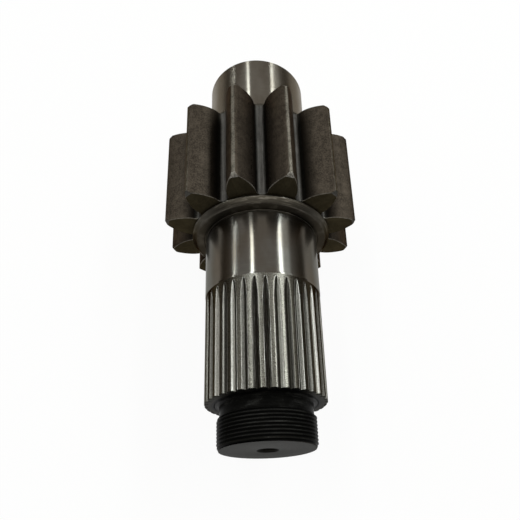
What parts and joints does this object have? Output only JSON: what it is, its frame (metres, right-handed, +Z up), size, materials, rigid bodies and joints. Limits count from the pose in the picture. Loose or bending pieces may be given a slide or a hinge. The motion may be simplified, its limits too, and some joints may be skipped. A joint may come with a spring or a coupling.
{
  "type": "pinion shaft",
  "caption": "Steel spur pinion made in one piece with its shaft, which has a bearing journal on each side, a spline and a threaded end.",
  "frame": {"origin": "on the ground under the middle of the part's bounding box, as it lies on two of its teeth", "axes": "+Y along the shaft from its threaded end to its plain end, +Z up through the middle of a gap between two teeth, +X to the right seen from the threaded end"},
  "size_m": [0.118, 0.2566, 0.118],
  "materials": {
    "steel": "case-hardened dark on the teeth, ground bright on the journals, black on the threaded end"
  },
  "bodies": {
    "root": {"pinion_shaft": "steel"}
  },
  "joints": []
}
